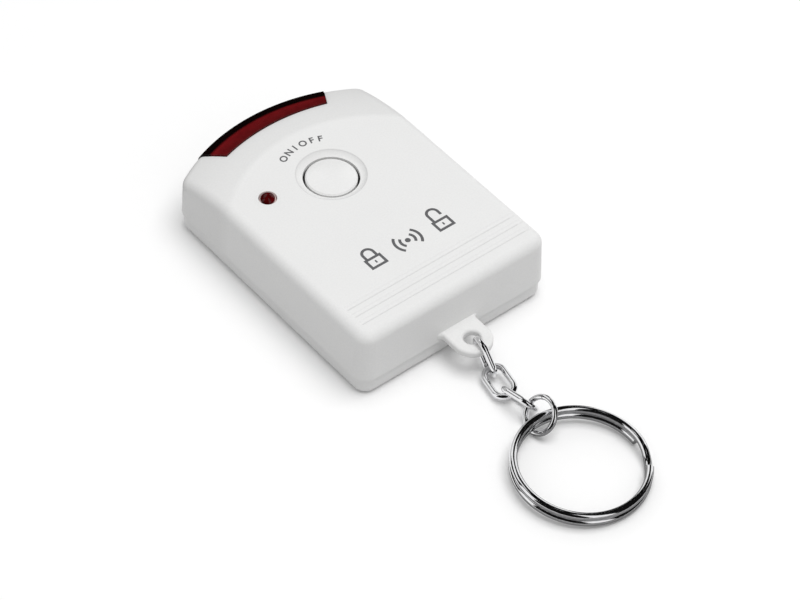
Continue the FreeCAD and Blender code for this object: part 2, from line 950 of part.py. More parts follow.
def case_screws():
    screws = []
    head_low = case_screw_sink - case_screw_head_thick
    for x, y in case_screw_places:
        head = post(case_screw_head, x, y, head_low, case_screw_sink)
        shank = post(case_screw_radius, x, y, case_screw_sink, case_screw_sink + case_screw_length)
        screw = head.fuse(shank).cut(cross_recess(x, y, head_low, head_low + cross_depth))
        screws.append(screw.removeSplitter())
    return Part.makeCompound(screws)


def board_screws():
    screws = []
    for x, y in board_screw_places:
        head_top = board_top + board_screw_head_thick
        head = post(board_screw_head, x, y, board_top, head_top)
        shank = post(board_screw_radius, x, y, board_top - board_screw_length, board_top)
        screw = head.fuse(shank).cut(cross_recess(x, y, head_top - cross_depth, head_top))
        screws.append(screw.removeSplitter())
    return Part.makeCompound(screws)


# Chain and rings

def turn_frame(turn):
    """A link's long axis and its cross axis, from its heading, its dip and its roll in degrees."""
    heading, dip, roll = [math.radians(angle) for angle in turn]
    along = V(math.sin(heading) * math.cos(dip), -math.cos(heading) * math.cos(dip), -math.sin(dip))
    side = V(math.cos(heading), math.sin(heading), 0)
    upward = side.cross(along)
    if upward.z < 0:
        upward = upward * -1
    return along, side * math.cos(roll) + upward * math.sin(roll)


def oval_link(middle, along, cross):
    """Two straight bars joined by two half rings, as one welded wire."""
    bend = (link_width - link_wire) / 2
    run = (link_length - link_width) / 2
    wire = link_wire / 2
    normal = along.cross(cross)
    shape = None
    for side in (-1, 1):
        centre = middle + along * (side * run)
        start = centre + cross * bend
        circle = Part.Face(Part.Wire(Part.makeCircle(wire, start, along)))
        half_ring = circle.revolve(centre, normal * -side, 180)
        bar_start = middle - along * run + cross * (side * bend)
        bar = Part.makeCylinder(wire, 2 * run, bar_start, along)
        pair = half_ring.fuse(bar)
        shape = pair if shape is None else shape.fuse(pair)
    return shape.removeSplitter()


def chain_places():
    """Places of the links and rings, each hooked through the one before it."""
    reach = (link_length - link_wire) / 2
    run = (link_length - link_width) / 2
    rim_y = tail_y - lug_reach + lug_rim / 2
    pivot = V(0, rim_y, lug_bottom + lug_thick / 2)
    places = {"pivot": pivot}
    along, cross = turn_frame(link_1_turn)
    middle = pivot + along * run
    places["link_1"] = (middle, along, cross)
    end = middle + along * reach
    places["link_1_end"] = end

    climb = math.radians(link_2_climb_angle)
    start = end + V(0, math.cos(climb), math.sin(climb)) * (link_wire + wire_gap)
    along, cross = turn_frame(link_2_turn)
    middle = start + along * reach
    places["link_2"] = (middle, along, cross)
    end = middle + along * reach
    places["link_2_end"] = end

    climb = math.radians(link_3_climb_angle)
    side = math.radians(link_3_side_angle)
    toward = V(math.sin(side) * math.cos(climb), math.cos(side) * math.cos(climb), math.sin(climb))
    start = end + toward * (link_wire + wire_gap)
    along, cross = turn_frame(link_3_turn)
    middle = start + along * reach
    places["link_3"] = (middle, along, cross)
    end = middle + along * reach
    places["link_3_end"] = end

    start = end + V(0, 1, 0) * ((link_wire + small_ring_wire) / 2 + wire_gap)
    heading = math.radians(small_ring_heading_angle)
    lean = math.radians(small_ring_lean_angle)
    normal = V(math.sin(lean) * math.cos(heading), math.sin(lean) * math.sin(heading), math.cos(lean))
    level = normal.cross(UP)
    level.normalize()
    swing = math.radians(small_ring_swing_angle)
    toward = level * -math.cos(swing) - normal.cross(level) * math.sin(swing)
    middle = start + toward * ((small_ring_diameter - small_ring_wire) / 2)
    places["small_ring"] = (middle, normal, toward)

    heading = math.radians(key_ring_heading_angle)
    mean = (key_ring_diameter - key_ring_wire) / 2
    away = mean + key_ring_offset
    tilt = math.radians(math.hypot(key_ring_tip_x_angle, key_ring_tip_y_angle))
    height = (key_ring_layer + key_ring_wire) / 2 + key_ring_diameter / 2 * math.sin(tilt) + ground_gap
    centre = middle + V(math.cos(heading), math.sin(heading), 0) * away
    places["key_ring"] = V(centre.x, centre.y, height)
    return places


def small_ring(place):
    """A round wire ring, closed but for a hair-thin cut opposite the chain."""
    middle, normal, toward = place
    radius = (small_ring_diameter - small_ring_wire) / 2
    start = middle + toward * radius
    tangent = normal.cross(toward)
    circle = Part.Face(Part.Wire(Part.makeCircle(small_ring_wire / 2, start, tangent)))
    slit = math.degrees(small_ring_slit / radius)
    ring = circle.revolve(middle, normal, 360 - slit)
    ring.rotate(middle, normal, small_ring_slit_angle)
    return ring


def biarc(p0, t0, p1, t1):
    """Two arcs that join two points with given unit tangents."""
    span = p1 - p0
    total = t0 + t1
    a = 2 - 2 * t0.dot(t1)
    b = 2 * span.dot(total)
    c = -span.dot(span)
    reach = -c / b if abs(a) < 1e-9 else (-b + math.sqrt(b * b - 4 * a * c)) / (2 * a)
    knee_0 = p0 + t0 * reach
    knee_1 = p1 - t1 * reach
    joint = (knee_0 + knee_1) * 0.5
    arcs = []
    for start, knee, end in ((p0, knee_0, joint), (joint, knee_1, p1)):
        chord = (start + end) * 0.5
        lift = knee - chord
        half = (end - start).Length / 2
        rise = half * math.tan(math.atan2(lift.Length, half) / 2)
        middle = chord + lift * (rise / lift.Length)
        arcs.append((start, middle, end))
    return arcs


def key_ring_path(centre):
    """One wire wound twice round: a flat upper turn, a short step down and a flat lower turn."""
    radius = (key_ring_diameter - key_ring_wire) / 2
    high = key_ring_layer / 2
    turn = 360 - key_ring_step_angle
    quarter = turn / 4
    stations = [(key_ring_start_angle - quarter * step, high) for step in range(5)]
    lower = key_ring_start_angle - turn - key_ring_step_angle
    stations += [(lower - quarter * step, -high) for step in range(5)]
    tip_x = FreeCAD.Rotation(V(1, 0, 0), key_ring_tip_x_angle)
    tip = FreeCAD.Rotation(V(0, 1, 0), key_ring_tip_y_angle).multiply(tip_x)
    arcs = []
    for first, second in zip(stations, stations[1:]):
        ends = []
        for degrees, z in (first, second):
            place = tip.multVec(polar(0, 0, radius, degrees, z)) + centre
            tangent = tip.multVec(polar(0, 0, 1, degrees - 90, 0))
            ends.append((place, tangent))
        arcs += biarc(ends[0][0], ends[0][1], ends[1][0], ends[1][1])
    tangent = tip.multVec(polar(0, 0, 1, key_ring_start_angle - 90, 0))
    return arcs, tangent


def key_ring(centre):
    arcs, tangent = key_ring_path(centre)
    path = Part.Wire([arc(*points) for points in arcs])
    ring = Part.Wire(Part.makeCircle(key_ring_wire / 2, arcs[0][0], tangent))
    shell = Part.BRepOffsetAPI.MakePipeShell(path)
    shell.add(ring)
    shell.build()
    shell.makeSolid()
    print("least gap of the key ring's wire to itself:", round(least_self_gap(path), 3))
    return shell.shape()


def least_self_gap(path):
    """Least distance between points of the wire that are more than half a turn apart along it."""
    points = path.discretize(Number=key_ring_samples)
    step = path.Length / (key_ring_samples - 1)
    apart = int(key_ring_diameter * math.pi / 2 / step)
    least = path.Length
    for index, point in enumerate(points):
        for other in points[index + apart:]:
            least = min(least, point.distanceToPoint(other))
    return least - key_ring_wire


def build():
    outer = outer_block()
    tray = tray_block()
    chain = chain_places()
    shapes = {
        "top_shell": top_shell(outer),
        "bottom_shell": bottom_shell(tray),
        "ir_window": ir_window(outer),
        "battery_door": battery_door(tray),
        "button_cap": button_cap(),
        "switch_plunger": switch_plunger(),
        "switch_base": switch_base(),
        "switch_cover": switch_cover(),
        "switch_dome": switch_dome(),
        "circuit_board": circuit_board(),
        "indicator_lamp": lamp_body(),
        "indicator_leads": lamp_leads(),
        "infrared_emitter": infrared_emitter(),
        "emitter_leads": emitter_leads(),
        "encoder_chip": encoder_chip(),
        "encoder_pins": encoder_pins(),
        "resonator": resonator(),
        "capacitor": capacitor(),
        "transistor": transistor(),
        "transistor_leads": transistor_leads(),
        "resistors": resistors(),
        "resistor_leads": resistor_leads(),
        "coin_cell": coin_cell(),
        "negative_contact": negative_contact(),
        "positive_contact": positive_contact(),
        "case_screws": case_screws(),
        "board_screws": board_screws(),
        "link_1": oval_link(*chain["link_1"]),
        "link_2": oval_link(*chain["link_2"]),
        "link_3": oval_link(*chain["link_3"]),
        "small_ring": small_ring(chain["small_ring"]),
        "key_ring": key_ring(chain["key_ring"]),
    }
    export(shapes)


build()
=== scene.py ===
import math

import bmesh
import bpy
from mathutils import Matrix, Vector


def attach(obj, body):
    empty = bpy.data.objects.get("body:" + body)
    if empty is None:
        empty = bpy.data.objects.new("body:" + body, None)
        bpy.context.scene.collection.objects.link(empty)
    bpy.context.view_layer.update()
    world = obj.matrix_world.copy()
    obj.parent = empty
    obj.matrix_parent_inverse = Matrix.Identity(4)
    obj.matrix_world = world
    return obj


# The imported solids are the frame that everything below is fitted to. They are in metres, with
# the origin on the flat back of the case, +Z out of the button face and +Y towards the nose.
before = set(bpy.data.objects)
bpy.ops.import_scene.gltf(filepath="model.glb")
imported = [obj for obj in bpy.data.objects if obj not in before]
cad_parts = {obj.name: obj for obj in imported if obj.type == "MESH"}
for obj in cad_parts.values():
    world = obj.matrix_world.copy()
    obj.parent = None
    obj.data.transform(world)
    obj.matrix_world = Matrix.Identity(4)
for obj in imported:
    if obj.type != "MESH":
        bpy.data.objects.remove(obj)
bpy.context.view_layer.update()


# CAMERA
# A long lens looks down on the face from the tail's left. Its place, roll and length were fitted
# to the edges and corners of the case in the product photograph.
MM = 0.001
camera_target = Vector((-0.999, -14.868, 0.4)) * MM
camera_distance = 496.35 * MM
camera_azimuth = math.radians(-40.83)
camera_elevation = math.radians(46.924)
camera_roll = math.radians(2.367)
camera_lens = 132.24
camera_film_width = 36.0
camera_near = 0.01
camera_far = 20.0

level = math.cos(camera_elevation)
camera_back = Vector((
    math.sin(camera_azimuth) * level,
    -math.cos(camera_azimuth) * level,
    math.sin(camera_elevation),
))
level_right = Vector((math.cos(camera_azimuth), math.sin(camera_azimuth), 0))
level_up = camera_back.cross(level_right)
camera_right = level_right * math.cos(camera_roll) + level_up * math.sin(camera_roll)
camera_up = level_up * math.cos(camera_roll) - level_right * math.sin(camera_roll)
camera_turn = Matrix((camera_right, camera_up, camera_back)).transposed().to_4x4()
camera_place = Matrix.Translation(camera_target + camera_back * camera_distance)

camera_data = bpy.data.cameras.new("camera")
camera_data.sensor_width = camera_film_width
camera_data.lens = camera_lens
camera_data.clip_start = camera_near
camera_data.clip_end = camera_far
camera = bpy.data.objects.new("camera", camera_data)
camera.matrix_world = camera_place @ camera_turn
bpy.context.scene.collection.objects.link(camera)
bpy.context.scene.camera = camera


# ROOM AND FLOOR
# The remote lies on pale paper in a white room. Camera, mirrors and clear resin see both as
# plain white, and the light that they give to the pieces is weaker than that.
room_strength = 0.55
plain_white = (1, 1, 1, 1)
paper_grey = (0.6, 0.6, 0.6, 1)
floor_half = 1.5


def add_node(tree, kind, inputs=None, **settings):
    """Adds a shader node, linking the inputs that are sockets and setting the others."""
    made = tree.nodes.new(kind)
    for name, value in settings.items():
        setattr(made, name, value)
    for name, value in (inputs or {}).items():
        if isinstance(value, bpy.types.NodeSocket):
            tree.links.new(value, made.inputs[name])
        else:
            made.inputs[name].default_value = value
    return made


def work_out(tree, operation, *values):
    """One sum, product or comparison."""
    inputs = dict(enumerate(values))
    return add_node(tree, "ShaderNodeMath", inputs, operation=operation).outputs[0]


def blend_colours(tree, share, first, second):
    """The first colour at a share of 0, the second at 1."""
    inputs = {"Factor": share, "A": first, "B": second}
    return add_node(tree, "ShaderNodeMix", inputs, data_type="RGBA").outputs["Result"]


def seen_directly(tree):
    """Is 1 for the camera, a mirror or clear resin, and 0 for light that falls on a piece."""
    ray = add_node(tree, "ShaderNodeLightPath")
    seen = work_out(tree, "MAXIMUM", ray.outputs["Is Camera Ray"], ray.outputs["Is Glossy Ray"])
    return work_out(tree, "MAXIMUM", seen, ray.outputs["Is Transmission Ray"])


def new_material(name):
    material = bpy.data.materials.new(name)
    material.use_nodes = True
    tree = material.node_tree
    tree.nodes.clear()
    return material, tree


def close_material(tree, kind, inputs):
    shader = add_node(tree, kind, inputs)
    add_node(tree, "ShaderNodeOutputMaterial", {"Surface": shader.outputs[0]})


bpy.context.scene.view_settings.view_transform = "Standard"

world = bpy.data.worlds.new("studio_room")
bpy.context.scene.world = world
world.use_nodes = True
room = world.node_tree
room.nodes.clear()
inputs = {"Value": seen_directly(room), "To Min": room_strength, "To Max": 1.0}
strength = add_node(room, "ShaderNodeMapRange", inputs)
inputs = {"Color": plain_white, "Strength": strength.outputs[0]}
sky = add_node(room, "ShaderNodeBackground", inputs)
add_node(room, "ShaderNodeOutputWorld", {"Surface": sky.outputs[0]})

floor_paper, tree = new_material("floor_paper")
paper_colour = blend_colours(tree, seen_directly(tree), paper_grey, plain_white)
close_material(tree, "ShaderNodeBsdfDiffuse", {"Color": paper_colour})

floor_mesh = bpy.data.meshes.new("floor")
floor_corners = [
    (-floor_half, -floor_half, 0),
    (floor_half, -floor_half, 0),
    (floor_half, floor_half, 0),
    (-floor_half, floor_half, 0),
]
floor_mesh.from_pydata(floor_corners, [], [(0, 1, 2, 3)])
floor_mesh.materials.append(floor_paper)
studio_floor = bpy.data.objects.new("studio_floor", floor_mesh)
bpy.context.scene.collection.objects.link(studio_floor)


# DARK TENT
# Black cloth with openings stands round the table, more lies beyond the nose, and a small black
# card stands there. Only mirrors see them, for the dark and light bands in chrome and window.
cloth_black = (0.01, 0.01, 0.01, 1)
cloth_lift = 0.0004
tent_radius = 0.9
tent_step = 4
tent_azimuths = range(-60, 300, tent_step)
tent_elevations = range(0, 88, tent_step)
# each opening in degrees: from and to azimuth, counted from +X, then from and to elevation
tent_openings = [
    (64, 100, 0, 60),
    (100, 132, 36, 68),
    (144, 172, 0, 48),
    (248, 280, 12, 76),
    (-12, 36, 0, 44),
]
table_cloth = [
    (-0.06, 0.031, cloth_lift),
    (0.45, 0.031, cloth_lift),
    (0.70, 0.55, cloth_lift),
    (-0.40, 0.80, cloth_lift),
]
card_left = -0.07
card_right = 0.08
card_y = 0.045
card_top = 0.034
nose_card = [
    (card_left, card_y, cloth_lift),
    (card_right, card_y, cloth_lift),
    (card_right, card_y, card_top),
    (card_left, card_y, card_top),
]


def tent_point(azimuth, elevation):
    level = tent_radius * math.cos(math.radians(elevation))
    height = tent_radius * math.sin(math.radians(elevation))
    azimuth = math.radians(azimuth)
    return (level * math.cos(azimuth), level * math.sin(azimuth), height)


def is_open(azimuth, elevation):
    return any(
        first <= azimuth < last and low <= elevation < high
        for first, last, low, high in tent_openings
    )


def hang_for_mirrors(name, mesh):
    """Puts up a studio piece that only mirrors see."""
    hung = bpy.data.objects.new(name, mesh)
    hung.visible_camera = False
    hung.visible_diffuse = False
    hung.visible_shadow = False
    hung.visible_transmission = False
    bpy.context.scene.collection.objects.link(hung)


dark_cloth, tree = new_material("dark_cloth")
close_material(tree, "ShaderNodeBsdfDiffuse", {"Color": cloth_black})

cloths = []
for azimuth in tent_azimuths:
    for elevation in tent_elevations:
        if not is_open(azimuth, elevation):
            cloths.append([
                tent_point(azimuth, elevation),
                tent_point(azimuth + tent_step, elevation),
                tent_point(azimuth + tent_step, elevation + tent_step),
                tent_point(azimuth, elevation + tent_step),
            ])
cloths += [table_cloth, nose_card]
cloth = bmesh.new()
for corners in cloths:
    cloth.faces.new([cloth.verts.new(corner) for corner in corners])
cloth_mesh = bpy.data.meshes.new("dark_cloth")
cloth.to_mesh(cloth_mesh)
cloth.free()
cloth_mesh.materials.append(dark_cloth)
hang_for_mirrors("studio_cloth", cloth_mesh)


# GREY MAT
# A round grey mat under the key ring, which only the chrome mirrors, so that the underside of
# the wire isn't as white as the paper.
mat_grey = (0.25, 0.25, 0.25, 1)
mat_middle = (-0.004, -0.0785)
mat_radius = 0.028
mat_lift = 0.0001
mat_corner_count = 48

grey_cloth, tree = new_material("grey_cloth")
close_material(tree, "ShaderNodeBsdfDiffuse", {"Color": mat_grey})
mat_edge = []
for corner in range(mat_corner_count):
    angle = 2 * math.pi * corner / mat_corner_count
    x = mat_middle[0] + mat_radius * math.cos(angle)
    y = mat_middle[1] + mat_radius * math.sin(angle)
    mat_edge.append((x, y, mat_lift))
mat_mesh = bpy.data.meshes.new("grey_mat")
mat_mesh.from_pydata(mat_edge, [], [tuple(range(mat_corner_count))])
mat_mesh.materials.append(grey_cloth)
hang_for_mirrors("studio_mat", mat_mesh)


# OVERHEAD LAMP
# One wide soft lamp hangs high over the tail's right. It lights the face more than the sides,
# and gives the soft shadow under the case's left edge.
lamp_place = Vector((0.11, -0.13, 0.85))
lamp_aim = Vector((0, -0.02, 0))
lamp_width = 0.6
lamp_power = 4.2

lamp_data = bpy.data.lights.new("lamp_overhead", "AREA")
lamp_data.shape = "SQUARE"
lamp_data.size = lamp_width
lamp_data.energy = lamp_power
lamp = bpy.data.objects.new("lamp_overhead", lamp_data)
lamp.location = lamp_place
lamp.rotation_mode = "QUATERNION"
lamp.rotation_quaternion = (lamp_place - lamp_aim).to_track_quat("Z", "Y")
lamp.visible_glossy = False
bpy.context.scene.collection.objects.link(lamp)


# TOP SHELL
# The hood is moulded in one with its nose band, button dish, three grooves and chain lug, in
# white ABS with a fine satin skin. Little light comes out of the deep gap round the button, and
# soft light hardly shows the band, the dish's edge and the grooves, so shade is painted into the
# skin in all four, and light is painted on the gap's lip.
case_tone = (0.845, 0.845, 0.84)
case_roughness = 0.42
case_grain_mm = 0.12
case_grain_depth_mm = 0.004
abs_ior = 1.46
cloud_mm = 14.0
cloud_shade = 0.985
fleck_mm = 0.3
fleck_share = 0.06
fleck_grey = (0.3, 0.3, 0.3, 1)
polish_mm = 3.0
polish_spread = 0.03
shade_black = (0, 0, 0, 1)

button_middle_y = 5.36 * MM
# painted shade deep in the gap round the button, and painted light on the gap's lip
gap_inside = 4.2 * MM
gap_outside = 5.3 * MM
gap_shade_from = 12.42 * MM
gap_shade_full = 12.2 * MM
gap_lip = 13.0 * MM
gap_lip_blend = 0.1 * MM
gap_lip_light = (0.97, 0.97, 0.965, 1)
gap_shade_black = (0.015, 0.015, 0.015, 1)

# painted shade along the dish's edge
dish_edge = 6.1 * MM
dish_edge_shade = 0.14
dish_edge_core = 0.03 * MM
dish_edge_reach = 0.16 * MM

# painted shade on the slope towards the nose
nose_shade = 0.055
nose_shade_full_z = 13.68 * MM
nose_shade_from_z = 13.79 * MM
nose_starts_y = 8.0 * MM
nose_blend = 3 * MM

# painted shade in the three grooves across the tail end of the face
groove_first_y = -25.0 * MM
groove_step = 1.95 * MM
groove_count = 3
groove_half_width = 0.5 * MM
groove_shade = 0.15
groove_shade_core = 0.1 * MM
groove_shade_reach = 17.3 * MM
groove_shade_full_z = 13.72 * MM
groove_shade_from_z = 13.79 * MM
groove_bottom_z = 13.5 * MM


def object_place(tree):
    return add_node(tree, "ShaderNodeTexCoord").outputs["Object"]


def speckle(tree, place, size_mm, detail=2.0):
    """Soft random patches of about this size, from 0 to 1."""
    inputs = {"Vector": place, "Scale": 1 / (size_mm * MM), "Detail": detail, "Roughness": 0.5}
    return add_node(tree, "ShaderNodeTexNoise", inputs).outputs["Fac"]


def spread(tree, value, low, high, start=0.3, end=0.7):
    """Goes from low to high as the value goes from start to end. Most speckle is in 0.3 to 0.7."""
    inputs = {"Value": value, "From Min": start, "From Max": end, "To Min": low, "To Max": high}
    return add_node(tree, "ShaderNodeMapRange", inputs).outputs[0]


def relief(tree, height, depth_mm):
    inputs = {"Height": height, "Distance": depth_mm * MM, "Strength": 1.0}
    return add_node(tree, "ShaderNodeBump", inputs).outputs[0]


def axes_of(tree, place):
    return add_node(tree, "ShaderNodeSeparateXYZ", {"Vector": place}).outputs


def distance_from_axis(tree, place, x, y):
    """How far a point is from an upright line through x, y."""
    moved = add_node(tree, "ShaderNodeVectorMath", {0: place, 1: (-x, -y, 0)}, operation="ADD")
    inputs = {0: moved.outputs[0], 1: (1, 1, 0)}
    flat = add_node(tree, "ShaderNodeVectorMath", inputs, operation="MULTIPLY")
    length = add_node(tree, "ShaderNodeVectorMath", {0: flat.outputs[0]}, operation="LENGTH")
    return length.outputs["Value"]


def shade_gap(tree, place, colour):
    """Paints shade deep in the button's gap and on the dish's edge, and light on the gap's lip."""
    height = axes_of(tree, place)["Z"]
    radius = distance_from_axis(tree, place, 0, button_middle_y)
    within = work_out(tree, "LESS_THAN", radius, gap_outside)
    beyond = work_out(tree, "GREATER_THAN", radius, gap_inside)
    ring = work_out(tree, "MULTIPLY", within, beyond)

    # painted light on the gap's lip, then painted shade deep down in the gap
    below_lip = spread(tree, height, 1, 0, gap_lip - gap_lip_blend, gap_lip)
    lip_light_share = work_out(tree, "MULTIPLY", below_lip, ring)
    colour = blend_colours(tree, lip_light_share, colour, gap_lip_light)
    deep = spread(tree, height, 1, 0, gap_shade_full, gap_shade_from)
    deep_share = work_out(tree, "MULTIPLY", deep, ring)
    colour = blend_colours(tree, deep_share, colour, gap_shade_black)

    # painted shade along the dish's edge, above the gap's lip
    aside = work_out(tree, "SUBTRACT", radius, dish_edge)
    aside = work_out(tree, "ABSOLUTE", aside)
    crease_shade = spread(tree, aside, dish_edge_shade, 0, dish_edge_core, dish_edge_reach)
    high = work_out(tree, "GREATER_THAN", height, gap_lip)
    crease_shade = work_out(tree, "MULTIPLY", crease_shade, high)
    return blend_colours(tree, crease_shade, colour, shade_black)


def shade_grooves(tree, place, colour):
    """Paints shade in the three shallow grooves across the tail end of the face."""
    axes = axes_of(tree, place)
    share = 0.0
    for groove in range(groove_count):
        middle = groove_first_y + groove * groove_step
        aside = work_out(tree, "SUBTRACT", axes["Y"], middle)
        aside = work_out(tree, "ABSOLUTE", aside)
        here = spread(tree, aside, groove_shade, 0, groove_shade_core, groove_half_width)
        share = work_out(tree, "ADD", share, here)
    off_middle = work_out(tree, "ABSOLUTE", axes["X"])
    for limit in (
        spread(tree, axes["Z"], 1, 0, groove_shade_full_z, groove_shade_from_z),
        work_out(tree, "GREATER_THAN", axes["Z"], groove_bottom_z),
        work_out(tree, "LESS_THAN", off_middle, groove_shade_reach),
    ):
        share = work_out(tree, "MULTIPLY", share, limit)
    return blend_colours(tree, share, colour, shade_black)


def shade_nose(tree, place, colour):
    """Paints shade on what slopes down towards the nose, beyond the crease of the face."""
    axes = axes_of(tree, place)
    below = spread(tree, axes["Z"], nose_shade, 0, nose_shade_full_z, nose_shade_from_z)
    beyond = spread(tree, axes["Y"], 0, 1, nose_starts_y, nose_starts_y + nose_blend)
    share = work_out(tree, "MULTIPLY", below, beyond)
    return blend_colours(tree, share, colour, shade_black)


def moulded_white(name, tone, roughness, grain_mm, grain_depth_mm, shades=()):
    """White ABS: faint clouds and flecks in the colour, uneven polish and a moulded grain."""
    material, tree = new_material(name)
    place = object_place(tree)
    cloud = spread(tree, speckle(tree, place, cloud_mm, detail=3.0), 0, 1)
    cloudy = tuple(channel * cloud_shade for channel in tone)
    colour = blend_colours(tree, cloud, (*cloudy, 1), (*tone, 1))
    fleck = spread(tree, speckle(tree, place, fleck_mm), 0, fleck_share)
    colour = blend_colours(tree, fleck, colour, fleck_grey)
    # the shades paint shade and light into the colour, where they are given
    for shade in shades:
        colour = shade(tree, place, colour)
    worn = speckle(tree, place, polish_mm, detail=4.0)
    grain = speckle(tree, place, grain_mm, detail=1.0)
    close_material(tree, "ShaderNodeBsdfPrincipled", {
        "Base Color": colour,
        "Roughness": spread(tree, worn, roughness - polish_spread, roughness + polish_spread),
        "Normal": relief(tree, grain, grain_depth_mm),
        "IOR": abs_ior,
    })
    return material


def dress(material, *node_names):
    """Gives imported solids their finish."""
    for node_name in node_names:
        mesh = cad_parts[node_name].data
        mesh.materials.clear()
        mesh.materials.append(material)
        mesh.polygons.foreach_set("material_index", [0] * len(mesh.polygons))


case_skin = (case_tone, case_roughness, case_grain_mm, case_grain_depth_mm)
face_white = moulded_white("face_white", *case_skin, shades=(shade_gap, shade_grooves, shade_nose))
dress(face_white, "top_shell")


# PUSH BUTTON
# A hollow domed cap of the same ABS, polished smoother than the case, drops into the round dish
# from inside. Its flange stays under the hood, and its side is the gap's inner wall.
button_tone = (0.86, 0.86, 0.855)
button_roughness = 0.30
button_grain_mm = 0.2
button_grain_depth_mm = 0.001

button_skin = (button_tone, button_roughness, button_grain_mm, button_grain_depth_mm)
# the cap takes the painted shade in the gap and on the nose side, and the painted light on the lip
button_white = moulded_white("button_white", *button_skin, shades=(shade_gap, shade_nose))
dress(button_white, "button_cap")


# INFRARED WINDOW
# A pane of dark red infrared-pass acrylic closes the slope of the nose, held by a flange behind
# the shell's wall. A brighter red glow over the bright case is painted light, a thin dark line
# along its inner edge is painted shade, and the outer band is painted nearly black for the shade
# of the dark cavity behind it.
window_arc_middle_y = -8.2 * MM
# radii from the arc's middle: painted shade at the inner edge, the painted red glow, then painted
# cavity shade
window_edge_shade_from = 30.12 * MM
window_edge_shade_full = 30.36 * MM
window_glow_from = 30.4 * MM
window_glow_full = 33.4 * MM
window_cavity_shade_from = 32.9 * MM
window_cavity_shade_full = 33.5 * MM
window_lean = 0.025
window_streak_mm = 1.6
window_streak_depth_mm = 0.006
window_polish_mm = 2.0
window_roughness = (0.20, 0.30)
# the glow reds are painted light; the edge red and the cavity black are painted shade
window_dim_reds = ((0.080, 0.004, 0.005, 1), (0.105, 0.005, 0.006, 1))
window_glow_reds = ((0.135, 0.004, 0.006, 1), (0.170, 0.006, 0.008, 1))
window_edge_shade_red = (0.020, 0.002, 0.002, 1)
window_cavity_shade_black = (0.004, 0.001, 0.001, 1)
acrylic_ior = 1.49
acrylic_shine = 0.15

window_red, tree = new_material("window_red")
place = object_place(tree)
radius = distance_from_axis(tree, place, 0, window_arc_middle_y)
leaning = work_out(tree, "MULTIPLY_ADD", axes_of(tree, place)["X"], window_lean, radius)
streaks = speckle(tree, place, window_streak_mm, detail=3.0)
polish = speckle(tree, place, window_polish_mm, detail=3.0)
streak_share = spread(tree, streaks, 0, 1)
# shares of the painted red glow, the painted edge shade and the painted cavity shade
deep_share = spread(tree, radius, 0, 1, window_glow_from, window_glow_full)
edge_shade_share = spread(tree, radius, 1, 0, window_edge_shade_from, window_edge_shade_full)
cavity_shade_share = spread(tree, leaning, 0, 1, window_cavity_shade_from, window_cavity_shade_full)
dim_red = blend_colours(tree, streak_share, *window_dim_reds)
deep = blend_colours(tree, streak_share, *window_glow_reds)
colour = blend_colours(tree, deep_share, dim_red, deep)
colour = blend_colours(tree, edge_shade_share, colour, window_edge_shade_red)
colour = blend_colours(tree, cavity_shade_share, colour, window_cavity_shade_black)
close_material(tree, "ShaderNodeBsdfPrincipled", {
    "Base Color": colour,
    "Roughness": spread(tree, polish, *window_roughness),
    "Normal": relief(tree, streaks, window_streak_depth_mm),
    "IOR": acrylic_ior,
    "Specular IOR Level": acrylic_shine,
})
dress(window_red, "ir_window")


# SWITCH WORDS
# ON and OFF, with a bar between them, stand in an arc over the button. They are pad printed in
# grey ink, which lies a fiftieth of a millimetre proud of the face.
face_z = 13.8 * MM
ink_thick = 0.018 * MM
ink_sunk = 0.01 * MM
ink_greys = ((0.10, 0.10, 0.105, 1), (0.15, 0.15, 0.155, 1))
ink_patch_mm = 0.25
ink_roughness = 0.5
ink_relief_mm = 0.002
letter_height = 1.3 * MM
capital_share = 0.7
letter_bold = 0.045 * MM
letter_ring = 8.25 * MM
# each letter with its turn from the nose direction, in degrees
letters = [("O", -28.0), ("N", -16.5), ("I", -6.5), ("O", 4.5), ("F", 15.5), ("F", 25.5)]

print_ink, tree = new_material("print_ink")
patches = speckle(tree, object_place(tree), ink_patch_mm, detail=3.0)
close_material(tree, "ShaderNodeBsdfPrincipled", {
    "Base Color": blend_colours(tree, spread(tree, patches, 0, 1), *ink_greys),
    "Roughness": ink_roughness,
    "Normal": relief(tree, patches, ink_relief_mm),
})


def printed_piece(name, shape):
    """Turns a printed shape into a piece of ink that rides on the case."""
    mesh = bpy.data.meshes.new(name)
    shape.to_mesh(mesh)
    shape.free()
    mesh.materials.append(print_ink)
    piece = bpy.data.objects.new(name, mesh)
    bpy.context.scene.collection.objects.link(piece)
    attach(piece, "housing")


word = bmesh.new()
for letter, degrees in letters:
    curve = bpy.data.curves.new("letter", "FONT")
    curve.body = letter
    curve.align_x = "CENTER"
    curve.size = letter_height / capital_share
    curve.extrude = (ink_thick + ink_sunk) / 2
    curve.offset = letter_bold
    holder = bpy.data.objects.new("letter", curve)
    bpy.context.scene.collection.objects.link(holder)
    bpy.context.view_layer.update()
    drawn = bpy.data.meshes.new_from_object(holder)
    angle = math.radians(degrees)
    spot = Vector((
        letter_ring * math.sin(angle),
        button_middle_y + letter_ring * math.cos(angle),
        face_z + (ink_thick - ink_sunk) / 2,
    ))
    drawn.transform(Matrix.Translation(spot) @ Matrix.Rotation(-angle, 4, "Z"))
    word.from_mesh(drawn)
    bpy.data.objects.remove(holder)
    bpy.data.meshes.remove(drawn)
    bpy.data.curves.remove(curve)
printed_piece("switch_words", word)


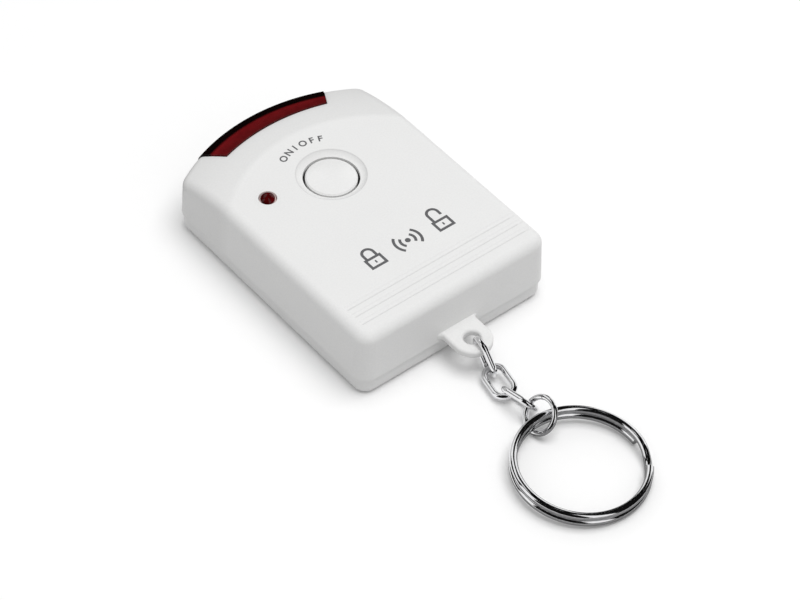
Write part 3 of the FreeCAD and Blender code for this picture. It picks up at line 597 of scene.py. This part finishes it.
# FACE SIGNS
# A closed lock, a sent signal and an open lock, printed below the button in the same ink. They
# are drawn in strokes of one width.
sign_middle = Vector((0.4 * MM, -14.6 * MM))
sign_stroke = 0.5 * MM
lock_width = 3.4 * MM
lock_height = 2.5 * MM
lock_aside = 7.2 * MM
lock_drop = 0.6 * MM
lock_keyhole = 0.6 * sign_stroke
shackle_radius = 1.05 * MM
shackle_rise = 0.9 * MM
shackle_lift = 0.7 * MM
signal_radii = (1.35 * MM, 2.45 * MM)
signal_half_angle = 44.0
signal_dot = 0.5 * MM
signal_dot_hole = 0.001 * MM


def print_band(shape, inner, outer):
    """A printed stroke between two rows of points, as thick as the ink."""
    low = face_z - ink_sunk
    inner_row = [shape.verts.new((x, y, low)) for x, y in inner]
    outer_row = [shape.verts.new((x, y, low)) for x, y in outer]
    faces = [
        shape.faces.new((inner_row[i], inner_row[i + 1], outer_row[i + 1], outer_row[i]))
        for i in range(len(inner) - 1)
    ]
    made = bmesh.ops.extrude_face_region(shape, geom=faces)
    tops = [item for item in made["geom"] if isinstance(item, bmesh.types.BMVert)]
    bmesh.ops.translate(shape, verts=tops, vec=(0, 0, ink_thick + ink_sunk))


def print_bar(shape, left, right, low, high):
    print_band(shape, [(left, low), (right, low)], [(left, high), (right, high)])


def arc_points(middle, radius, first, last, steps=24):
    points = []
    for step in range(steps + 1):
        angle = math.radians(first + (last - first) * step / steps)
        x = middle[0] + radius * math.cos(angle)
        y = middle[1] + radius * math.sin(angle)
        points.append((x, y))
    return points


def print_lock(shape, x, y, lift):
    """A padlock: a frame with a keyhole under a shackle, whose right leg ends short if lifted."""
    left = x - lock_width / 2
    right = x + lock_width / 2
    low = y - lock_height / 2
    top = y + lock_height / 2
    bar = sign_stroke
    print_bar(shape, left, right, low, low + bar)
    print_bar(shape, left, right, top - bar, top)
    print_bar(shape, left, left + bar, low + bar, top - bar)
    print_bar(shape, right - bar, right, low + bar, top - bar)
    half = lock_keyhole / 2
    print_bar(shape, x - half, x + half, y - lock_keyhole, y + lock_keyhole)

    crown = (x, top + shackle_rise + lift)
    rows = []
    for radius in (shackle_radius - sign_stroke / 2, shackle_radius + sign_stroke / 2):
        arc = arc_points(crown, radius, 180, 0)
        left_foot = (arc[0][0], crown[1] - (shackle_rise + lift))
        right_foot = (arc[-1][0], crown[1] - shackle_rise)
        rows.append([left_foot, *arc, right_foot])
    print_band(shape, *rows)


signs = bmesh.new()
lock_y = sign_middle.y - lock_drop
print_lock(signs, sign_middle.x - lock_aside, lock_y, 0)
print_lock(signs, sign_middle.x + lock_aside, lock_y, shackle_lift)
dot_rows = [arc_points(sign_middle, radius, 0, 360) for radius in (signal_dot_hole, signal_dot)]
print_band(signs, *dot_rows)
for side in (0, 180):
    first = side - signal_half_angle
    last = side + signal_half_angle
    for radius in signal_radii:
        inner_row = arc_points(sign_middle, radius - sign_stroke / 2, first, last)
        outer_row = arc_points(sign_middle, radius + sign_stroke / 2, first, last)
        print_band(signs, inner_row, outer_row)
printed_piece("face_signs", signs)


# CIRCUIT BOARD
# A 1 mm glass laminate under slightly uneven green lacquer. It rests on the tray's posts, and
# two screws hold it.
board_green = (0.05, 0.22, 0.08)
resin_dark_share = 0.8
resin_polish_spread = 0.04


def coloured_resin(name, tone, roughness, grain_mm, grain_depth_mm):
    """Coloured resin or lacquer: an uneven tone with a slight grain."""
    material, tree = new_material(name)
    grain = speckle(tree, object_place(tree), grain_mm, detail=3.0)
    dark = tuple(channel * resin_dark_share for channel in tone)
    low = roughness - resin_polish_spread
    high = roughness + resin_polish_spread
    close_material(tree, "ShaderNodeBsdfPrincipled", {
        "Base Color": blend_colours(tree, spread(tree, grain, 0, 1), (*dark, 1), (*tone, 1)),
        "Roughness": spread(tree, grain, low, high),
        "Normal": relief(tree, grain, grain_depth_mm),
    })
    return material


board_laminate = coloured_resin(
    "board_laminate", board_green, roughness=0.35, grain_mm=0.6, grain_depth_mm=0.01
)
dress(board_laminate, "circuit_board")


# TACT SWITCH
# A 6 mm switch stands under the button: a black moulded base and plunger, a tinned sheet cover
# with four legs soldered into the board, and a thin disc that snaps down under the plunger.
black_tone = (0.03, 0.03, 0.03)
tin_tone = (0.72, 0.72, 0.70)
metal_line_mm = 0.15
metal_line_depth_mm = 0.003
metal_dull_share = 0.85
metal_polish_below = 0.06
metal_polish_above = 0.08


def bare_metal(name, tone, roughness, brushed_along):
    """Metal with fine lines, drawn out along the axes that have a small share."""
    material, tree = new_material(name)
    inputs = {0: object_place(tree), 1: brushed_along}
    stretched = add_node(tree, "ShaderNodeVectorMath", inputs, operation="MULTIPLY").outputs[0]
    lines = speckle(tree, stretched, metal_line_mm, detail=3.0)
    dull = tuple(channel * metal_dull_share for channel in tone)
    low = roughness - metal_polish_below
    high = roughness + metal_polish_above
    close_material(tree, "ShaderNodeBsdfPrincipled", {
        "Base Color": blend_colours(tree, spread(tree, lines, 0, 1), (*dull, 1), (*tone, 1)),
        "Metallic": 1.0,
        "Roughness": spread(tree, lines, low, high),
        "Normal": relief(tree, lines, metal_line_depth_mm),
    })
    return material


black_resin = coloured_resin(
    "black_resin", black_tone, roughness=0.5, grain_mm=0.15, grain_depth_mm=0.006
)
dress(black_resin, "switch_base", "switch_plunger")
tinned_steel = bare_metal("tinned_steel", tin_tone, roughness=0.30, brushed_along=(1, 1, 0.2))
dress(tinned_steel, "switch_cover", "switch_dome")


# CODING CHIP AND TRANSISTOR
# The chip that codes the beam and the transistor that drives the emitter are moulded in black
# resin round tinned legs, which are soldered to the board's upper face.
dress(black_resin, "encoder_chip", "transistor")
dress(tinned_steel, "encoder_pins", "transistor_leads")


# RESONATOR
# The part that sets the chip's beat: a small ceramic block dipped in glossy orange resin, with
# rounded edges. It stands on the board.
resonator_orange = (0.75, 0.30, 0.05)
orange_resin = coloured_resin(
    "orange_resin", resonator_orange, roughness=0.25, grain_mm=0.8, grain_depth_mm=0.02
)
dress(orange_resin, "resonator")


# CAPACITOR
# A round can that feeds the emitter's pulses lies along the board. Its sleeve of blue-black
# film was shrunk on and shines.
sleeve_blue = (0.03, 0.04, 0.10)
black_sleeve = coloured_resin(
    "black_sleeve", sleeve_blue, roughness=0.22, grain_mm=1.2, grain_depth_mm=0.01
)
dress(black_sleeve, "capacitor")


# RESISTORS
# Four small ceramic barrels dipped in beige lacquer lie on the board. Their leads are tinned
# wire, bent down to the pads.
resistor_beige = (0.66, 0.48, 0.28)
beige_lacquer = coloured_resin(
    "beige_lacquer", resistor_beige, roughness=0.3, grain_mm=0.5, grain_depth_mm=0.02
)
dress(beige_lacquer, "resistors")
dress(tinned_steel, "resistor_leads")


# INFRARED EMITTER
# A 5 mm class emitter, cast in smoky blue resin with a polished dome, lies behind the window.
# Its tinned leads run back and bend down through the board.
emitter_blue = (0.10, 0.12, 0.22)
emitter_resin = coloured_resin(
    "emitter_resin", emitter_blue, roughness=0.08, grain_mm=1.0, grain_depth_mm=0.002
)
dress(emitter_resin, "infrared_emitter")
dress(tinned_steel, "emitter_leads")


# INDICATOR LAMP
# A standard 3 mm lamp of dark red tinted resin stands a little proud of the face, on two tinned
# leads. A painted reflection of the hole's white makes its rim pale, most of all on the nose's
# side.
# the middle of the dark part, off the lamp's axis, round which the rim's painted reflection lies
lamp_dark_middle = (-12.12 * MM, 7.26 * MM)
rim_reflection_from = 1.22 * MM
rim_reflection_full = 1.32 * MM
rim_reflection_pink = (0.85, 0.66, 0.64, 1)
indicator_reds = ((0.035, 0.001, 0.001, 1), (0.085, 0.002, 0.003, 1))
indicator_tint_mm = 0.8
indicator_roughness = (0.04, 0.08)
indicator_ior = 1.4
indicator_shine = 0.3

lamp_red, tree = new_material("lamp_red")
place = object_place(tree)
tint = speckle(tree, place, indicator_tint_mm)
colour = blend_colours(tree, spread(tree, tint, 0, 1), *indicator_reds)
radius = distance_from_axis(tree, place, *lamp_dark_middle)
# painted reflection of the hole's white on the rim
rim_reflection_share = spread(tree, radius, 0, 1, rim_reflection_from, rim_reflection_full)
close_material(tree, "ShaderNodeBsdfPrincipled", {
    "Base Color": blend_colours(tree, rim_reflection_share, colour, rim_reflection_pink),
    "Roughness": spread(tree, tint, *indicator_roughness),
    "IOR": indicator_ior,
    "Specular IOR Level": indicator_shine,
})
dress(lamp_red, "indicator_lamp")
dress(tinned_steel, "indicator_leads")


# BATTERY CONTACTS
# Two strips cut and bent from golden sprung sheet hang under the board. One bows down to the
# cell's upper face, and the other is an angle beside the cell's wall.
contact_tone = (0.75, 0.64, 0.38)
spring_contact = bare_metal(
    "spring_contact", contact_tone, roughness=0.28, brushed_along=(1, 0.15, 1)
)
dress(spring_contact, "negative_contact", "positive_contact")


# BOTTOM SHELL AND BATTERY DOOR
# The tray closes the case from below with a tongue inside the hood's wall, and the door slides
# out of it at the nose on two side tongues. Both are moulded in the hood's plain ABS.
case_white = moulded_white("case_white", *case_skin)
dress(case_white, "bottom_shell", "battery_door")


# COIN CELL
# A 20 mm cell, crimped from two cups of brushed steel sheet, lies loose in the tray's pocket
# over the door.
cell_tone = (0.70, 0.70, 0.69)
cell_steel = bare_metal("cell_steel", cell_tone, roughness=0.24, brushed_along=(1, 0.08, 1))
dress(cell_steel, "coin_cell")


# CASE AND BOARD SCREWS
# Cross-head self-cutting screws of zinc-plated steel: four join the case's halves from the flat
# back, and two hold the board.
zinc_tone = (0.56, 0.57, 0.58)
screw_steel = bare_metal("screw_steel", zinc_tone, roughness=0.34, brushed_along=(1, 1, 1))
dress(screw_steel, "case_screws", "board_screws")


# CHAIN AND RINGS
# Three oval links, a small round ring and the two-layer split ring are steel wire, tumbled
# and plated with bright nickel-chrome. Fine drawing marks and small nicks break the mirror.
chrome_tones = ((0.75, 0.75, 0.76, 1), (0.86, 0.86, 0.87, 1))
smudge_mm = 1.5
nick_mm = 0.12
nick_depth_mm = 0.0025
chrome_roughness = (0.05, 0.13)

chrome, tree = new_material("chrome")
place = object_place(tree)
smudge = speckle(tree, place, smudge_mm, detail=4.0)
close_material(tree, "ShaderNodeBsdfPrincipled", {
    "Base Color": blend_colours(tree, spread(tree, smudge, 0, 1), *chrome_tones),
    "Metallic": 1.0,
    "Roughness": spread(tree, smudge, *chrome_roughness),
    "Normal": relief(tree, speckle(tree, place, nick_mm), nick_depth_mm),
})
dress(chrome, "link_1", "link_2", "link_3", "small_ring", "key_ring")
